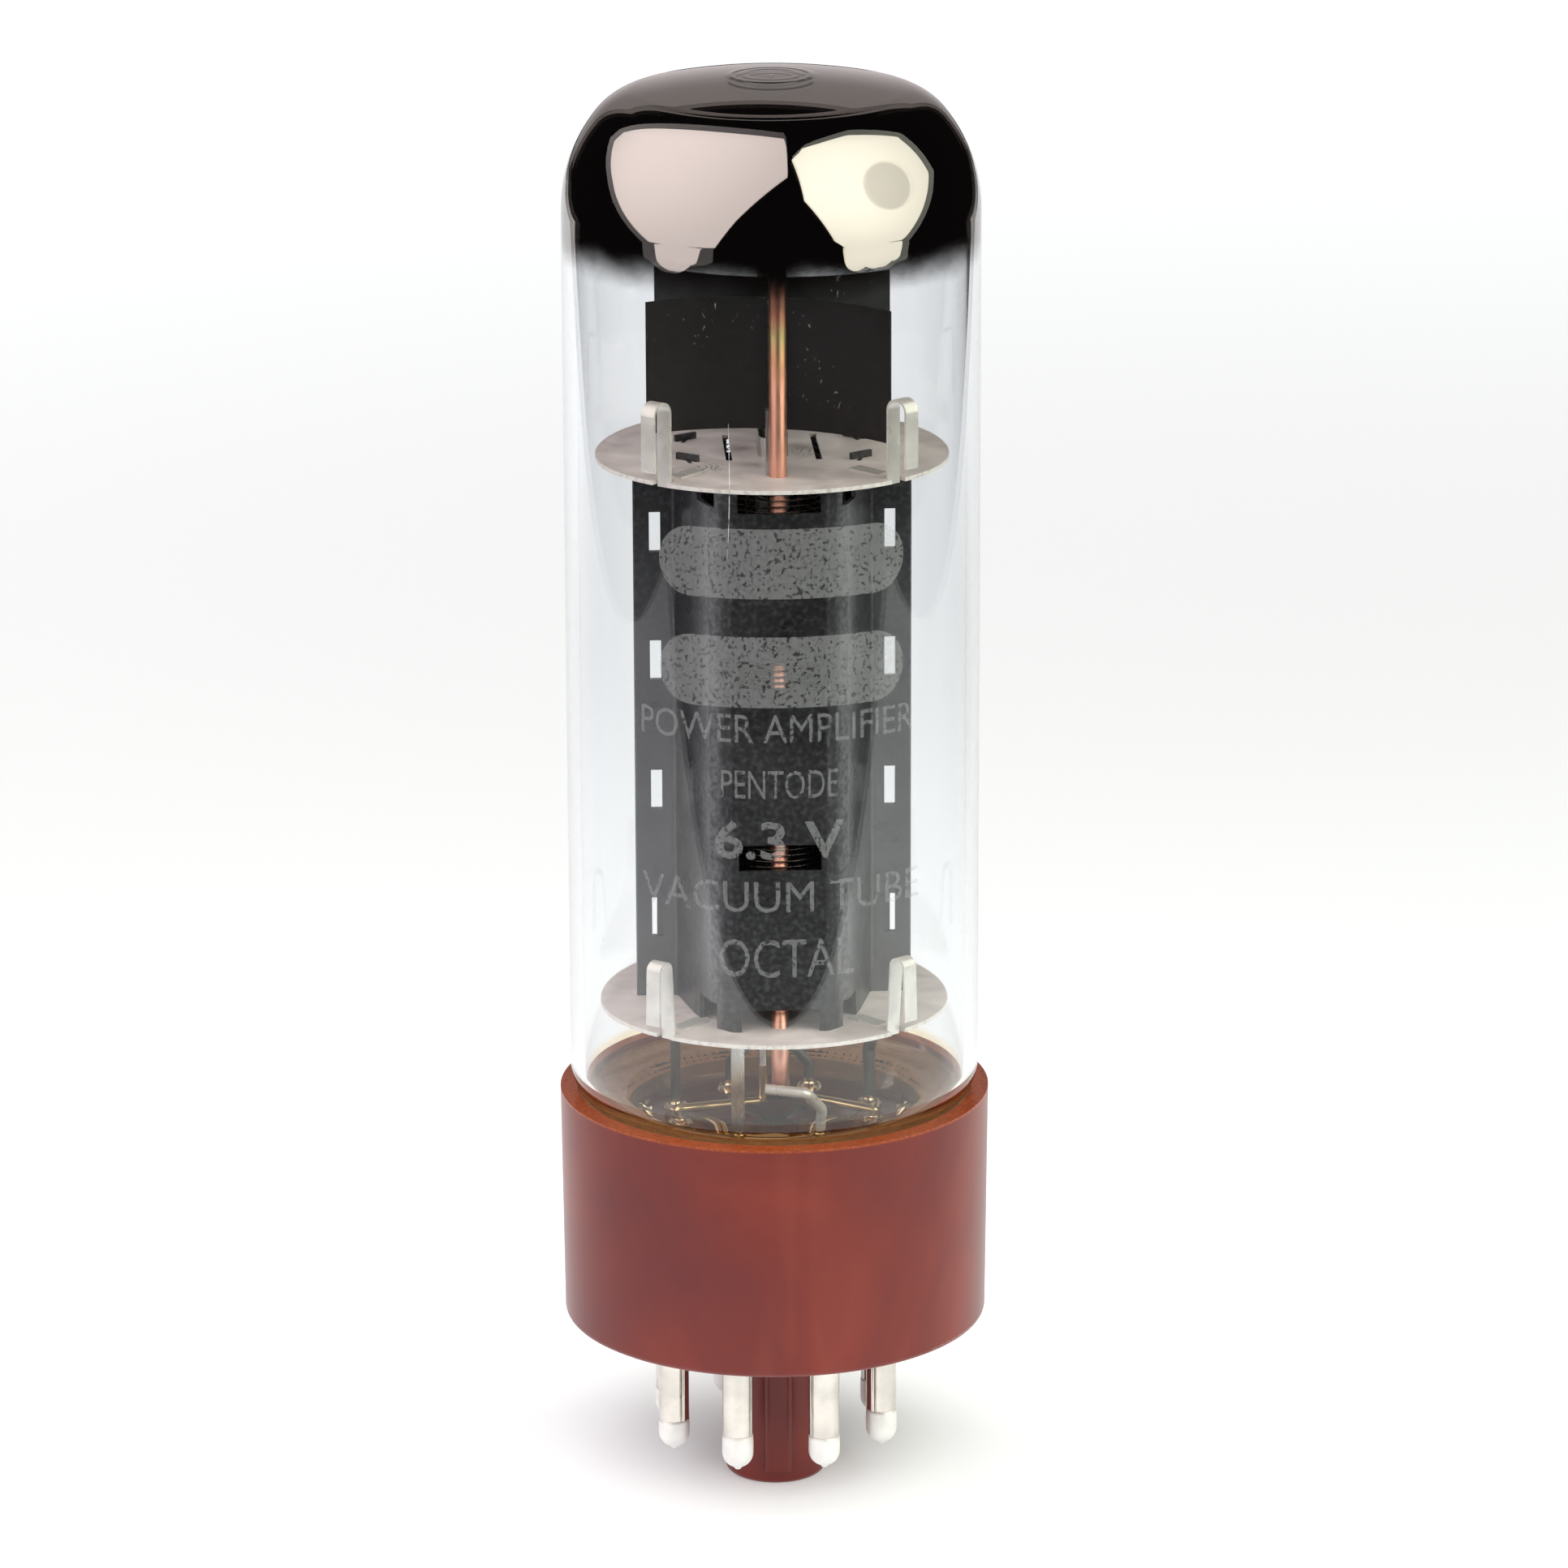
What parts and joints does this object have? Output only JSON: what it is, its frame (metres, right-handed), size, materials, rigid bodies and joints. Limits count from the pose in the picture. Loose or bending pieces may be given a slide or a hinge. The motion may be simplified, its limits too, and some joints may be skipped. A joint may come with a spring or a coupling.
{
  "type": "vacuum tube",
  "caption": "Glass power-amplifier valve on a red-brown octal base, with silvered dome, grey folded anode, mica spacers and copper grid rods.",
  "frame": {"origin": "centre of the foot of the locating post, the lowest point of the base", "axes": "+Z along the tube axis from the pins to the dome, -Y towards the locating key, +X completes the right hand"},
  "size_m": [0.033, 0.033, 0.1107],
  "materials": {
    "phenolic": "mottled red-brown moulded phenolic, satin",
    "cement": "dark brown resin cement, matt",
    "nickel_pin": "nickel-plated brass tube, slightly tarnished",
    "solder": "dull tinned solder",
    "envelope_glass": "clear, faintly blue, glossy",
    "getter_film": "black-brown metallic film on the inside of the dome",
    "getter_metal": "nickel, heat-marked",
    "wire_nickel": "drawn nickel wire and strip",
    "mica": "pale grey-beige coated mica, matt",
    "spring_nickel": "bright nickel strip",
    "carbonised": "dark grey carbonised nickel, satin",
    "blackened": "black carbonised sheet, matt",
    "copper": "bare copper with heat tint towards the top",
    "grid_rod": "nickel rod",
    "grid_wire": "fine molybdenum wire",
    "cathode_nickel": "nickel sleeve",
    "oxide": "white oxide coating, matt"
  },
  "bodies": {
    "root": {"base_shell": "phenolic", "base_cement": "cement", "base_pin_1": "nickel_pin", "base_pin_2": "nickel_pin", "base_pin_3": "nickel_pin", "base_pin_4": "nickel_pin", "base_pin_5": "nickel_pin", "base_pin_6": "nickel_pin", "base_pin_7": "nickel_pin", "base_pin_8": "nickel_pin", "pin_solder": "solder", "glass_bulb": "envelope_glass", "glass_stem": "envelope_glass", "exhaust_tube": "envelope_glass", "getter_flash": "getter_film", "getter_ring_front": "getter_metal", "getter_ring_back": "getter_metal", "getter_strap_front": "getter_metal", "getter_strap_back": "getter_metal", "stem_wires": "wire_nickel", "lead_suppressor_grid": "wire_nickel", "lead_heater_2": "wire_nickel", "lead_heater_7": "wire_nickel", "lead_anode": "wire_nickel", "lead_screen_grid": "wire_nickel", "lead_control_grid": "wire_nickel", "lead_support": "wire_nickel", "lead_cathode": "wire_nickel", "suppressor_strap": "wire_nickel", "mica_upper": "mica", "mica_lower": "mica", "spring_clips_upper": "spring_nickel", "spring_clips_lower": "spring_nickel", "anode_front": "carbonised", "anode_back": "carbonised", "radiator_front": "blackened", "radiator_back": "blackened", "suppressor_grid_rods": "copper", "screen_grid_rods": "grid_rod", "control_grid_rods": "grid_rod", "suppressor_grid_winding": "grid_wire", "screen_grid_winding": "grid_wire", "control_grid_winding": "grid_wire", "cathode_sleeve": "cathode_nickel", "cathode_coating": "oxide", "heater": "oxide"}
  },
  "joints": []
}
